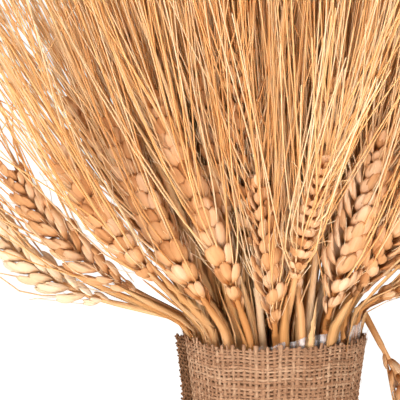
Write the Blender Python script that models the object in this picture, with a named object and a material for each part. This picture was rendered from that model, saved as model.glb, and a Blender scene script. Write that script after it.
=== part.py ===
"""A sheaf of bearded wheat, wrapped in burlap and tied with twine, standing on its cut straws.

Metres, +Z up. The origin is the centre of the cut end of the middle straw, on the surface that the
sheaf stands on. -Y is the front. An azimuth is measured round +Z from the front, positive towards +X.

Every straw is straight from its cut end to the burlap's rim. The whole bunch is twisted about its axis,
so the straws cross the tie as the rulings of nested hyperboloids: seen from above, a straw that passes
the tie at the complex number p lies at p * (1 + i * TWIST * h) at the height h above the tie. Above the
rim each straw bends over to its ear's lean, and the ear ends in long awns.
"""

import math

import bmesh
import bpy
import numpy as np
from mathutils import Matrix

# --- The bunch ---
TIE_Z = 0.115  # the twine, where the straws are packed tightest
RIM_Z = 0.225  # top edge of the burlap
RING_COUNTS = (1, 6, 12, 17, 20)  # straws in each ring, from the middle out
RING_STARTS = (0.0, 12.0, 4.0, 9.0, 0.0)  # azimuth of each ring's first straw at the rim, in degrees
TIE_PITCH = 0.00365  # spacing of the rings at the tie
RIM_PITCH = 0.0079  # spacing of the rings at the rim
RIM_H = RIM_Z - TIE_Z
TWIST = -math.sqrt((RIM_PITCH / TIE_PITCH) ** 2 - 1) / RIM_H  # negative: clockwise from above, going up
SEED = 11
GAP = 0.0003  # least distance between two stalks

# --- One stalk ---
STRAW_R = 0.00165
STRAW_SIDES = 4
SHARP_TURN = math.cos(math.radians(25))  # a bend sharper than this has a ring of its own
NECK_R = 0.00125  # just under the ear
RACHIS_R = (0.0021, 0.0025, 0.0018)  # the ear's middle, at its base, halfway up and at its tip
BEND = 0.010  # length above the rim over which a straw turns to its ear's lean
STEP = 0.001  # spacing of the points that a stalk's path is worked out at
SPIKELETS = 8  # in two rows, besides the one at the tip
SPIKELET_LENGTH = 0.0180
SPIKELET_WIDTH = 0.0056  # half its width, square to the plane of the two rows
SPIKELET_DEPTH = 0.0033  # half its thickness
SPIKELET_LEAN = 24.0  # degrees from the ear's axis
SPIKELET_ROOT = 0.0004  # how far from the ear's axis it starts
SPIKELET_BELLY = 0.42  # where along its length it is widest
AWNED = (0, 1, 3, 4, 6)  # spikelets whose awn is modelled; the tip's always is
AWN_R = 0.0005  # at its root; it runs out to a point
AWN_REACH = (0.100, 0.128)  # how far past the ear's tip the awns reach
AWN_RISE = 0.7  # how much more upright than their ear the awns stand

# --- Stalks of the outer ring whose ears face the front ---
# rim azimuth: (straight above the rim, neck, lean, lean azimuth, droop, ear length, roll, size)
# Lengths are in millimetres and angles in degrees. A lean is measured from upright and a droop is
# what it grows by along the ear. The roll turns the two rows about the ear's axis.
FRONT_STALKS = {
    -90: (0, 36, 77, -90, -60, 84, 10, 1.0),
    -72: (1, 29, 62, -86, -34, 70, 10, 1.0),
    -54: (1, 36, 50, -50, -16, 68, 60, 1.0),
    -36: (1, 16, 34, -75, -14, 80, 62, 1.1),
    -18: (1, 14, 21, -64, 6, 88, 66, 1.0),
    0: (1, 5, 16, -20, 6, 66, 60, 0.85),
    18: (7, 12, 9, -60, -4, 46, 50, 0.72),
    36: (6, 6, 23, 32, 6, 80, 20, 1.1),
    54: (8, 10, 37, 40, 6, 84, 80, 1.0),
    72: (8, 12, 62, 78, 5, 86, 75, 1.1),
    90: (6, 20, 66, 84, 10, 84, 50, 1.0),
    108: (4, 24, 152, 92, 6, 80, 20, 1.0),
}
# The other stalks: ranges for neck, lean and ear length, by ring.
DRAWN_STALKS = {
    0: ((34, 38), (0, 4), (82, 86)),
    1: ((22, 40), (6, 14), (78, 88)),
    2: ((14, 38), (12, 26), (76, 88)),
    3: ((10, 40), (18, 44), (74, 88)),
    4: ((8, 28), (32, 64), (76, 88)),
}
LEFT_UPRIGHT = 0.45  # share of its lean that a stalk on the left side loses

FIRST_TURN = math.pi / 2  # where a three-segment sphere's first vertex lies

# --- Wrapping ---
# height, room between the straws and the burlap, and the burlap's thickness: it is gathered at the tie
BURLAP_PROFILE = (
    (0.225, 0.00130, 0.0012),
    (0.198, 0.00120, 0.0012),
    (0.170, 0.00060, 0.0014),
    (0.142, 0.00050, 0.0018),
    (0.120, 0.00045, 0.0025),
    (0.110, 0.00045, 0.0025),
    (0.090, 0.00050, 0.0018),
    (0.060, 0.00060, 0.0013),
)
BURLAP_SIDES = 24
FLAP_AZIMUTH = -94.0  # where the burlap's free end stands off
FLAP_REACH = 0.0024
FLAP_LOW_Z = 0.130  # it lies flat from here down
TAPE_ROOM = 0.00035  # between the straws and the tape
TAPE_THICK = 0.0005
TAPE_LOW_Z = 0.203
TAPE_TOP_Z = 0.223
TAPE_TILT = 0.008  # how far the tape's top edge rises and falls
TAPE_HIGH_AZIMUTH = 55.0
TAPE_SIDES = 24
TWINE_R = 0.0012
TWINE_TURNS = 3
TWINE_PITCH = 0.0026
TWINE_POINTS = 18  # in each turn

# colour and roughness
LOOKS = {
    "straw": ((0.66, 0.42, 0.19), 0.55),
    "burlap": ((0.36, 0.23, 0.14), 0.95),
    "tape": ((0.78, 0.76, 0.82), 0.15),
    "twine": ((0.45, 0.31, 0.17), 0.9),
}


def unit(v):
    return v / np.linalg.norm(v)


def smooth(x):
    """0 to 1 with no slope at either end."""
    x = np.clip(x, 0, 1)
    return x * x * (3 - 2 * x)


def heading(lean, azimuth):
    """Unit vector that leans from upright towards an azimuth, both in degrees."""
    a, b = math.radians(lean), math.radians(azimuth)
    return np.array((math.sin(a) * math.sin(b), -math.sin(a) * math.cos(b), math.cos(a)))


def straw_at(rim_point, z):
    """Where the straight straw that meets the rim at the complex number rim_point is at height z."""
    tie_point = rim_point / (1 + 1j * TWIST * RIM_H)
    p = tie_point * (1 + 1j * TWIST * (z - TIE_Z))
    return np.array((p.real, p.imag, z))


def bunch_radius(z):
    """Radius out to the outer side of the outermost straws at height z."""
    tie = (len(RING_COUNTS) - 1) * TIE_PITCH
    return math.hypot(tie, tie * TWIST * (z - TIE_Z)) + STRAW_R


class Stalk:
    """The run of one stalk: a straight straw, a neck that bends over, and the ear."""

    def __init__(self, ring, azimuth, straight, neck, lean, towards, droop, ear, roll, size):
        a = math.radians(azimuth)
        rim_point = ring * RIM_PITCH * complex(math.sin(a), -math.cos(a))
        self.foot = straw_at(rim_point, 0.0)
        self.start = straw_at(rim_point, RIM_Z + straight / 1000)
        self.neck, self.ear, self.size = neck / 1000, ear / 1000, size
        arc = np.arange(0, self.neck + self.ear + STEP / 2, STEP)
        turned = smooth(arc / min(BEND, self.neck))[:, None]
        leans = lean + droop * np.clip((arc - self.neck) / self.ear, 0, 1)
        ahead = np.array([heading(x, towards) for x in leans])
        along = unit(self.start - self.foot) * (1 - turned) + ahead * turned
        self.along = along / np.linalg.norm(along, axis=1)[:, None]
        steps = (self.along[1:] + self.along[:-1]) / 2 * STEP
        self.points = self.start + np.vstack((np.zeros(3), np.cumsum(steps, axis=0)))
        end = self.along[-1]
        out = heading(90, towards)
        out = unit(out - out @ end * end)
        self.row = out * math.cos(math.radians(roll)) + np.cross(end, out) * math.sin(math.radians(roll))
        self.awn_tips = {}

    def at(self, arc):
        """Point, direction and the rows' direction at an arc length above the straight part."""
        i = min(int(round(arc / STEP)), len(self.points) - 1)
        axis = self.along[i]
        return self.points[i], axis, unit(self.row - self.row @ axis * axis)

    def spikelets(self):
        """(base, axis, across, size) of each spikelet: two alternating rows, then the one at the tip."""
        lean = math.radians(SPIKELET_LEAN)
        found = []
        for k in range(SPIKELETS):
            share = (k + 0.3) / SPIKELETS
            base, axis, row = self.at(self.neck + share * self.ear)
            row = row if k % 2 else -row
            taper = 0.80 + 0.20 * math.sin(math.pi * min(1, share * 1.6)) - 0.22 * max(0, share - 0.55)
            leaning = axis * math.cos(lean) + row * math.sin(lean)
            found.append((base + row * SPIKELET_ROOT, leaning, np.cross(axis, row), self.size * taper))
        base, axis, row = self.at(self.neck + self.ear - STEP)
        found.append((base, axis, row, 0.72 * self.size))
        return found

    def capsules(self):
        """(start, end, radius) of round-ended rods that hold everything but the awns."""
        rods = [(self.foot, self.start, STRAW_R)]
        spots = [self.at(a)[0] for a in np.linspace(0, self.neck + self.ear, 9)]
        rods += [(a, b, RACHIS_R[0]) for a, b in zip(spots, spots[1:])]
        for base, axis, across, size in self.spikelets():
            near = base + axis * 0.25 * SPIKELET_LENGTH * size
            far = base + axis * 0.62 * SPIKELET_LENGTH * size
            for side in (-1, 1):
                shift = across * side * 0.42 * SPIKELET_WIDTH * size
                rods.append((near + shift, far + shift, SPIKELET_DEPTH * size))
        return rods


def columns(rods):
    """A list of rods as three arrays: starts, ends and radii."""
    return [np.array([rod[k] for rod in rods]) for k in range(3)]


def least_gap(rods, others):
    """Least distance between the surfaces of two sets of rods, from the clamped closest points of their axes."""
    p1, q1, r1 = (column[:, None] for column in rods)
    p2, q2, r2 = (column[None] for column in others)
    d1, d2, r = q1 - p1, q2 - p2, p1 - p2
    a, e, f = (d1 * d1).sum(-1), (d2 * d2).sum(-1), (d2 * r).sum(-1)
    b, c = (d1 * d2).sum(-1), (d1 * r).sum(-1)
    s = np.clip((b * f - c * e) / np.maximum(a * e - b * b, 1e-18), 0, 1)
    t = np.clip((b * s + f) / e, 0, 1)
    s = np.clip((b * t - c) / a, 0, 1)
    apart = np.linalg.norm(p1 + d1 * s[..., None] - p2 - d2 * t[..., None], axis=-1)
    return (apart - r1 - r2).min()


def place_stalks():
    """All stalks: the front ones as listed, then each other one drawn until it clears those before it."""
    rng = np.random.default_rng(SEED)
    placed = [Stalk(4, azimuth, *values) for azimuth, values in FRONT_STALKS.items()]
    taken = [rod for stalk in placed for rod in stalk.capsules()]
    for ring in (3, 4, 2, 1, 0):
        count = RING_COUNTS[ring]
        for i in range(count):
            azimuth = RING_STARTS[ring] + 360 / count * i
            azimuth -= 360 * round(azimuth / 360)
            if ring == 4 and round(azimuth) in FRONT_STALKS:
                continue
            best, best_gap = None, -1.0
            for attempt in range(500):
                neck, lean, ear = (rng.uniform(*limits) for limits in DRAWN_STALKS[ring])
                lean *= 1 - LEFT_UPRIGHT * max(0, -math.sin(math.radians(azimuth)))
                towards, droop, roll = azimuth + rng.uniform(-16, 16), rng.uniform(2, 12), rng.uniform(-90, 90)
                size = rng.uniform(0.85, 1.05) - 0.0005 * attempt
                stalk = Stalk(ring, azimuth, 2, neck, lean, towards, droop, ear, roll, size)
                gap = least_gap(columns(stalk.capsules()), columns(taken))
                if gap > best_gap:
                    best, best_gap = stalk, gap
                if gap > GAP:
                    break
            placed.append(best)
            taken += best.capsules()
    return placed


def grow_awns(stalks):
    """Give each chosen spikelet a straight awn, drawn until it clears every other stalk and awn."""
    rng = np.random.default_rng(SEED + 1)
    bodies = [columns(stalk.capsules()) for stalk in stalks]
    awns = []
    for n, stalk in enumerate(stalks):
        tip, aim, _ = stalk.at(stalk.neck + stalk.ear)
        if aim[2] > 0:
            aim = unit(aim + np.array((0, 0, AWN_RISE)))
        others = [np.concatenate([b[k] for i, b in enumerate(bodies) if i != n]) for k in range(3)]
        for k, (base, axis, across, size) in enumerate(stalk.spikelets()):
            if k < SPIKELETS and k not in AWNED:
                continue
            root = base + axis * SPIKELET_LENGTH * size
            out = unit(axis - axis @ aim * aim) if k < SPIKELETS else across
            own = [np.delete(column[9:], [2 * k, 2 * k + 1], axis=0) for column in bodies[n]]
            best, best_gap = None, -1.0
            for attempt in range(120):
                wide = 1 + attempt / 25
                spread = math.radians(rng.uniform(1, 12 * wide))
                veer = math.radians(rng.uniform(-55, 55) * wide)
                away = out * math.cos(veer) + np.cross(aim, out) * math.sin(veer)
                direction = aim * math.cos(spread) + away * math.sin(spread)
                end = root + direction * (rng.uniform(*AWN_REACH) + (tip - root) @ aim)
                awn = columns([(root, end, 0.9 * AWN_R)])
                gap = least_gap(awn, others)
                gap = min(gap, least_gap(columns([(root + direction * 0.004, end, 0.9 * AWN_R)]), own))
                if awns:
                    gap = min(gap, least_gap(awn, columns(awns)))
                if gap > best_gap:
                    best, best_gap = end, gap
                if gap > GAP:
                    break
            if best_gap > GAP / 3:
                stalk.awn_tips[k] = best
                awns.append((root, best, AWN_R))


def material(look):
    made = bpy.data.materials.get(look)
    if made is None:
        made = bpy.data.materials.new(look)
        made.use_nodes = True
        colour, roughness = LOOKS[look]
        shader = made.node_tree.nodes["Principled BSDF"]
        shader.inputs["Base Color"].default_value = (*colour, 1)
        shader.inputs["Roughness"].default_value = roughness
    return made


def linked(name, mesh, look, collection=None):
    """New object with a mesh and a look."""
    mesh.materials.clear()
    mesh.materials.append(material(look))
    obj = bpy.data.objects.new(name, mesh)
    (collection or bpy.data.collections["wheat_bundle"]).objects.link(obj)
    return obj


def tube_mesh(name, points, radii, resolution):
    """Mesh of a round tube along points, from a bevelled curve with its caps welded on."""
    curve = bpy.data.curves.new(name, "CURVE")
    curve.dimensions, curve.use_fill_caps = "3D", True
    curve.bevel_depth, curve.bevel_resolution = 1.0, resolution
    spline = curve.splines.new("POLY")
    spline.points.add(len(points) - 1)
    for spot, point, radius in zip(spline.points, points, radii):
        spot.co, spot.radius = (*point, 1), radius
    obj = bpy.data.objects.new(name, curve)
    bpy.context.scene.collection.objects.link(obj)
    mesh = bpy.data.meshes.new_from_object(obj.evaluated_get(bpy.context.evaluated_depsgraph_get()))
    bpy.data.objects.remove(obj)
    bpy.data.curves.remove(curve)
    work = bmesh.new()
    work.from_mesh(mesh)
    bmesh.ops.remove_doubles(work, verts=work.verts, dist=1e-6)
    bmesh.ops.recalc_face_normals(work, faces=work.faces)
    work.to_mesh(mesh)
    work.free()
    return mesh


def spikelet_mesh(base, axis, across, size, awn_tip):
    """A three-sided seed, pointed at both ends, its keel outwards. An awned one is drawn out into its awn.

    It is a sphere of three segments. Its lower pole is the spikelet's root, its first ring the belly,
    and for an awned one its second ring is the awn's root and its upper pole the awn's tip.
    """
    length = SPIKELET_LENGTH * size
    out = np.cross(across, axis)
    work = bmesh.new()
    bmesh.ops.create_uvsphere(work, u_segments=3, v_segments=2 if awn_tip is None else 3, radius=1)
    for vert in work.verts:
        turn = math.atan2(vert.co.y, vert.co.x) - FIRST_TURN
        ring = across * math.sin(turn) + out * math.cos(turn)
        belly = (across * math.sin(turn) * SPIKELET_WIDTH + out * math.cos(turn) * SPIKELET_DEPTH) * size
        if vert.co.z < -0.99:
            place = base
        elif vert.co.z < 0.1:
            place = base + axis * SPIKELET_BELLY * length + belly * 1.15
        elif vert.co.z < 0.99:
            place = base + axis * length + ring * AWN_R
        else:
            place = base + axis * length if awn_tip is None else awn_tip
        vert.co = place
    bmesh.ops.recalc_face_normals(work, faces=work.faces)
    mesh = bpy.data.meshes.new("spikelet")
    work.to_mesh(mesh)
    work.free()
    return mesh


def make_stalk(name, stalk):
    """The straw and the ear's middle as one tube, with the spikelets fused to it."""
    bend = min(BEND, stalk.neck)
    turned = stalk.along[0] @ stalk.along[int(bend / STEP)]
    arcs = ([0.5 * bend] if turned < SHARP_TURN else []) + [bend] + ([stalk.neck] if stalk.neck > bend + 0.006 else [])
    curved = stalk.at(stalk.neck)[1] @ stalk.along[-1] < SHARP_TURN
    shares = np.linspace(0, 1, 7 if curved else 3)
    radii = [STRAW_R] * 2 + [NECK_R] * (len(arcs) - 1)
    radii += [r * stalk.size for r in np.interp(shares, (0, 0.5, 1), RACHIS_R)]
    arcs += [stalk.neck + share * stalk.ear for share in shares[1:]]
    path = [stalk.foot, stalk.start] + [stalk.at(arc)[0] for arc in arcs]
    body = linked(name, tube_mesh(name, path, radii, STRAW_SIDES // 2 - 2), "straw")
    level = bmesh.new()
    level.from_mesh(body.data)
    for vert in level.verts:  # the foot is cut level
        if vert.co.z < 0.01:
            vert.co.z = 0
    level.to_mesh(body.data)
    level.free()
    spikelets = bpy.data.collections.new("spikelets")
    bpy.context.scene.collection.children.link(spikelets)
    for k, place in enumerate(stalk.spikelets()):
        linked("spikelet", spikelet_mesh(*place, stalk.awn_tips.get(k)), "straw", spikelets)
    union = body.modifiers.new("ear", "BOOLEAN")
    union.operation, union.operand_type, union.collection = "UNION", "COLLECTION", spikelets
    bpy.context.view_layer.objects.active = body
    bpy.ops.object.modifier_apply(modifier=union.name)
    for obj in list(spikelets.objects):
        bpy.data.objects.remove(obj)
    bpy.data.collections.remove(spikelets)
    body.data.transform(Matrix.Translation(-stalk.foot))
    body.location = stalk.foot
    return body


def turned_mesh(name, profile, sides):
    """Mesh of a closed profile of (radius, height) points, outer side first and downwards, turned round Z."""
    work = bmesh.new()
    verts = [work.verts.new((r, 0, z)) for r, z in profile]
    edges = [work.edges.new((a, b)) for a, b in zip(verts, verts[1:] + verts[:1])]
    bmesh.ops.spin(work, geom=verts + edges, cent=(0, 0, 0), axis=(0, 0, 1), angle=2 * math.pi, steps=sides)
    bmesh.ops.remove_doubles(work, verts=work.verts, dist=1e-6)
    bmesh.ops.recalc_face_normals(work, faces=work.faces)
    mesh = bpy.data.meshes.new(name)
    work.to_mesh(mesh)
    work.free()
    return mesh


def make_burlap():
    """The burlap's sleeve. Its free end is a ridge: one column of its outer side, pulled outwards."""
    inner = [(bunch_radius(z) + room, z) for z, room, _ in BURLAP_PROFILE]
    outer = [(bunch_radius(z) + room + thick, z) for z, room, thick in BURLAP_PROFILE]
    mesh = turned_mesh("burlap_wrap", outer + inner[::-1], BURLAP_SIDES)
    flap = 2 * math.pi * round(FLAP_AZIMUTH / 360 * BURLAP_SIDES) / BURLAP_SIDES
    for vert in mesh.vertices:
        radius, azimuth, z = math.hypot(vert.co.x, vert.co.y), math.atan2(vert.co.x, -vert.co.y), vert.co.z
        is_outer = any(abs(radius - r) + abs(z - h) < 1e-5 for r, h in outer)
        if is_outer and abs(azimuth - flap) < 0.01:
            reach = FLAP_REACH * smooth((z - FLAP_LOW_Z) / (RIM_Z - FLAP_LOW_Z) * 2.5)
            vert.co.x += reach * math.sin(flap)
            vert.co.y -= reach * math.cos(flap)
    return linked("burlap_wrap", mesh, "burlap")


def make_tape():
    """Clear tape round the straws: a thin turned band whose top edge runs higher on one side."""
    heights = (TAPE_TOP_Z, (TAPE_TOP_Z + TAPE_LOW_Z) / 2, TAPE_LOW_Z)
    inner = [(bunch_radius(z) + TAPE_ROOM, z) for z in heights]
    outer = [(r + TAPE_THICK, z) for r, z in inner]
    mesh = turned_mesh("clear_tape", outer + inner[::-1], TAPE_SIDES)
    for vert in mesh.vertices:
        azimuth, share = math.atan2(vert.co.x, -vert.co.y), (vert.co.z - TAPE_LOW_Z) / (TAPE_TOP_Z - TAPE_LOW_Z)
        z = vert.co.z + share * TAPE_TILT * math.cos(azimuth - math.radians(TAPE_HIGH_AZIMUTH))
        radius = math.hypot(vert.co.x, vert.co.y) + bunch_radius(z) - bunch_radius(vert.co.z)
        vert.co = (radius * math.sin(azimuth), -radius * math.cos(azimuth), z)
    return linked("clear_tape", mesh, "tape")


def make_twine():
    """The twine's turns: one helix that lies on the burlap's gathered waist."""
    waist = max(room + thick for _, room, thick in BURLAP_PROFILE)
    points = []
    for i in range(TWINE_TURNS * TWINE_POINTS + 1):
        azimuth = 2 * math.pi * i / TWINE_POINTS + math.radians(150)
        z = TIE_Z + TWINE_PITCH * (i / TWINE_POINTS - TWINE_TURNS / 2)
        radius = (bunch_radius(z) + waist + TWINE_R + GAP) / math.cos(math.pi / TWINE_POINTS)
        points.append((radius * math.sin(azimuth), -radius * math.cos(azimuth), z))
    return linked("twine_tie", tube_mesh("twine_tie", points, [TWINE_R] * len(points), 1), "twine")


def main():
    for obj in list(bpy.data.objects):
        bpy.data.objects.remove(obj)
    bundle = bpy.data.collections.new("wheat_bundle")
    bpy.context.scene.collection.children.link(bundle)
    stalks = place_stalks()
    grow_awns(stalks)
    for n, stalk in enumerate(stalks):
        make_stalk(f"stalk_{n + 1:02d}", stalk)
    make_burlap()
    make_tape()
    make_twine()


main()
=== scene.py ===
"""A sheaf of dried bearded wheat in a burlap wrap, tied with jute twine and standing on its cut straws.

Metres, +Z up, -Y to the front. Every section below holds one piece, or one group of like pieces.
"""

import math

import bpy
import numpy as np
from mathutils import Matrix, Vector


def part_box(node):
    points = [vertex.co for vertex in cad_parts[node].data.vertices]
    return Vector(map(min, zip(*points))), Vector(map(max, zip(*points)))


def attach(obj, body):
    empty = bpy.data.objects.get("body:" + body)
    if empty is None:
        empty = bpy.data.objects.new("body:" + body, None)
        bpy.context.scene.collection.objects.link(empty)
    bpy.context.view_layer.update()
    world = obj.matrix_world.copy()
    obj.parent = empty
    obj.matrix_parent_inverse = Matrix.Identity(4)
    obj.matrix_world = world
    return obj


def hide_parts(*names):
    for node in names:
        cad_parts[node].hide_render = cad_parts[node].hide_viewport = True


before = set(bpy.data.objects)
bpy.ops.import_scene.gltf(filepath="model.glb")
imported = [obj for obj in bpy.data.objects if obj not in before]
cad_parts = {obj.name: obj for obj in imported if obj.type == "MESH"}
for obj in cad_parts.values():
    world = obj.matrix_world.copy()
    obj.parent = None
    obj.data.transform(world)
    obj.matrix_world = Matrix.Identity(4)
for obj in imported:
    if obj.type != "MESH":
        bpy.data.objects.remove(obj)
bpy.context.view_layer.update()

# --- How the sheaf stands together ---
# The straws cross the tie as the rulings of nested hyperboloids, because the whole bunch was given a
# twist before it was tied. Above the burlap each one bends over to the lean of its ear.
TIE_Z = 0.115  # the twine, where the straws are packed tightest
RIM_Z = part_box("burlap_wrap")[1][2]
RING_COUNTS = (1, 6, 12, 17, 20)  # straws in each ring, from the middle out
RING_STARTS = (0.0, 12.0, 4.0, 9.0, 0.0)  # azimuth of each ring's first straw, in degrees
TIE_PITCH = 0.00365  # spacing of the rings at the tie
RIM_PITCH = 0.0079  # spacing of the rings at the rim
RIM_H = RIM_Z - TIE_Z
TWIST = -math.sqrt((RIM_PITCH / TIE_PITCH) ** 2 - 1) / RIM_H
SEED = 11
GAP = 0.0003  # the least that one stalk clears the next by
STRAW_R = 0.00165
BEND = 0.010  # length over which a straw turns to its ear's lean
STEP = 0.001  # between the points along a stalk
BODY_R = 0.0021  # of the plain rods that a stalk is kept clear by
SPIKELETS = 8  # in that plain ear
SPIKELET_LENGTH = 0.0180
SPIKELET_WIDTH = 0.0056  # half its width, square to the plane of the two rows
SPIKELET_DEPTH = 0.0033  # half its thickness
SPIKELET_LEAN = 24.0  # degrees from the ear's axis
SPIKELET_ROOT = 0.0004  # how far from the ear's axis it starts
# Stalks of the outer ring whose ears face the front, in millimetres and degrees. Rim azimuth:
# (straight above the rim, neck, lean, lean azimuth, droop, ear length, roll, size)
FRONT_STALKS = {
    -90: (0, 36, 77, -90, -60, 84, 10, 1.0),
    -72: (1, 29, 62, -86, -34, 70, 10, 1.0),
    -54: (1, 36, 50, -50, -16, 68, 60, 1.0),
    -36: (1, 16, 34, -75, -14, 80, 62, 1.1),
    -18: (1, 14, 21, -64, 6, 88, 66, 1.0),
    0: (1, 5, 16, -20, 6, 66, 60, 0.85),
    18: (7, 12, 9, -60, -4, 46, 50, 0.72),
    36: (6, 6, 23, 32, 6, 80, 20, 1.1),
    54: (8, 10, 37, 40, 6, 84, 80, 1.0),
    72: (8, 12, 62, 78, 5, 86, 75, 1.1),
    90: (6, 20, 66, 84, 10, 84, 50, 1.0),
    108: (4, 24, 152, 92, 6, 80, 20, 1.0),
}
# The other stalks: ranges for neck, lean and ear length, by ring.
DRAWN_STALKS = {
    0: ((34, 38), (0, 4), (82, 86)),
    1: ((22, 40), (6, 14), (78, 88)),
    2: ((14, 38), (12, 26), (76, 88)),
    3: ((10, 40), (18, 44), (74, 88)),
    4: ((8, 28), (32, 64), (76, 88)),
}
LEFT_UPRIGHT = 0.45  # share of its lean that a stalk on the left side loses


def unit(v):
    return v / np.linalg.norm(v, axis=-1, keepdims=True)


def smooth(x):
    """0 to 1 with no slope at either end."""
    x = np.clip(x, 0, 1)
    return x * x * (3 - 2 * x)


def heading(lean, azimuth):
    """Unit vector that leans from upright towards an azimuth, both in degrees."""
    a, b = math.radians(lean), math.radians(azimuth)
    return np.array((math.sin(a) * math.sin(b), -math.sin(a) * math.cos(b), math.cos(a)))


def straw_at(rim_point, z):
    """Where the straight straw that meets the rim at the complex number rim_point is at height z."""
    tie_point = rim_point / (1 + 1j * TWIST * RIM_H)
    p = tie_point * (1 + 1j * TWIST * (z - TIE_Z))
    return np.array((p.real, p.imag, z))


def bunch_radius(z):
    """Radius out to the outer side of the outermost straws at height z."""
    tie = (len(RING_COUNTS) - 1) * TIE_PITCH
    return np.hypot(tie, tie * TWIST * (z - TIE_Z)) + STRAW_R


class Stalk:
    """The run of one stalk: a straight straw, a neck that bends over, and the ear."""

    def __init__(self, ring, azimuth, straight, neck, lean, towards, droop, ear, roll, size):
        a = math.radians(azimuth)
        rim_point = ring * RIM_PITCH * complex(math.sin(a), -math.cos(a))
        self.ring, self.front = ring, ring >= 3 and abs(azimuth) < 100
        self.foot = straw_at(rim_point, 0.0)
        self.start = straw_at(rim_point, RIM_Z + straight / 1000)
        self.neck, self.ear, self.size = neck / 1000, ear / 1000, size
        arc = np.arange(0, self.neck + self.ear + STEP / 2, STEP)
        turned = smooth(arc / min(BEND, self.neck))[:, None]
        leans = lean + droop * np.clip((arc - self.neck) / self.ear, 0, 1)
        ahead = np.array([heading(x, towards) for x in leans])
        along = unit(self.start - self.foot) * (1 - turned) + ahead * turned
        self.along = along / np.linalg.norm(along, axis=1)[:, None]
        steps = (self.along[1:] + self.along[:-1]) / 2 * STEP
        self.points = self.start + np.vstack((np.zeros(3), np.cumsum(steps, axis=0)))
        end = self.along[-1]
        out = heading(90, towards)
        out = unit(out - out @ end * end)
        self.row = out * math.cos(math.radians(roll)) + np.cross(end, out) * math.sin(math.radians(roll))

    def at(self, arc):
        """Point, direction and the rows' direction at an arc length above the straight part."""
        i = min(int(round(arc / STEP)), len(self.points) - 1)
        axis = self.along[i]
        return self.points[i], axis, unit(self.row - self.row @ axis * axis)

    def capsules(self):
        """(start, end, radius) of round-ended rods that hold everything but the awns."""
        lean = math.radians(SPIKELET_LEAN)
        rods = [(self.foot, self.start, STRAW_R)]
        spots = [self.at(a)[0] for a in np.linspace(0, self.neck + self.ear, 9)]
        rods += [(a, b, BODY_R) for a, b in zip(spots, spots[1:])]
        found = []
        for k in range(SPIKELETS):
            share = (k + 0.3) / SPIKELETS
            base, axis, row = self.at(self.neck + share * self.ear)
            row = row if k % 2 else -row
            taper = 0.80 + 0.20 * math.sin(math.pi * min(1, share * 1.6)) - 0.22 * max(0, share - 0.55)
            leaning = axis * math.cos(lean) + row * math.sin(lean)
            found.append((base + row * SPIKELET_ROOT, leaning, np.cross(axis, row), self.size * taper))
        base, axis, row = self.at(self.neck + self.ear - STEP)
        found.append((base, axis, row, 0.72 * self.size))
        for base, axis, across, size in found:
            near = base + axis * 0.25 * SPIKELET_LENGTH * size
            far = base + axis * 0.62 * SPIKELET_LENGTH * size
            for side in (-1, 1):
                shift = across * side * 0.42 * SPIKELET_WIDTH * size
                rods.append((near + shift, far + shift, SPIKELET_DEPTH * size))
        return rods


def columns(rods):
    """A list of rods as three arrays: starts, ends and radii."""
    return [np.array([rod[k] for rod in rods]) for k in range(3)]


def least_gap(rods, others):
    """Least distance between the surfaces of two sets of rods, from the clamped closest points of their axes."""
    p1, q1, r1 = (column[:, None] for column in rods)
    p2, q2, r2 = (column[None] for column in others)
    d1, d2, r = q1 - p1, q2 - p2, p1 - p2
    a, e, f = (d1 * d1).sum(-1), (d2 * d2).sum(-1), (d2 * r).sum(-1)
    b, c = (d1 * d2).sum(-1), (d1 * r).sum(-1)
    s = np.clip((b * f - c * e) / np.maximum(a * e - b * b, 1e-18), 0, 1)
    t = np.clip((b * s + f) / e, 0, 1)
    s = np.clip((b * t - c) / a, 0, 1)
    apart = np.linalg.norm(p1 + d1 * s[..., None] - p2 - d2 * t[..., None], axis=-1)
    return (apart - r1 - r2).min()


def place_stalks():
    """All stalks: the front ones as listed, then each other one drawn until it clears those before it."""
    rng = np.random.default_rng(SEED)
    placed = [Stalk(4, azimuth, *values) for azimuth, values in FRONT_STALKS.items()]
    taken = [rod for stalk in placed for rod in stalk.capsules()]
    for ring in (3, 4, 2, 1, 0):
        count = RING_COUNTS[ring]
        for i in range(count):
            azimuth = RING_STARTS[ring] + 360 / count * i
            azimuth -= 360 * round(azimuth / 360)
            if ring == 4 and round(azimuth) in FRONT_STALKS:
                continue
            best, best_gap = None, -1.0
            for attempt in range(500):
                neck, lean, ear = (rng.uniform(*limits) for limits in DRAWN_STALKS[ring])
                lean *= 1 - LEFT_UPRIGHT * max(0, -math.sin(math.radians(azimuth)))
                towards, droop, roll = azimuth + rng.uniform(-16, 16), rng.uniform(2, 12), rng.uniform(-90, 90)
                size = rng.uniform(0.85, 1.05) - 0.0005 * attempt
                stalk = Stalk(ring, azimuth, 2, neck, lean, towards, droop, ear, roll, size)
                gap = least_gap(columns(stalk.capsules()), columns(taken))
                if gap > best_gap:
                    best, best_gap = stalk, gap
                if gap > GAP:
                    break
            placed.append(best)
            taken += best.capsules()
    return placed


stalks = place_stalks()

# --- Camera, floor and light ---
# The sheaf is seen from just above its ears, close in on the burlap's rim, with a long lens.
# The floor and the backdrop are plain white. A soft key stands high in front and a weak fill low in front.
VIEW_WIDTH = 0.156
VIEW_DISTANCE = 1.1
VIEW_ELEVATION = math.radians(7)
TARGET = np.array((-0.0293, 0.0, RIM_Z + 0.053))
LIT_POINT = np.array((0, 0, 0.26))  # what the lights face
LIGHT_TINT = (1.0, 0.97, 0.94)

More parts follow.
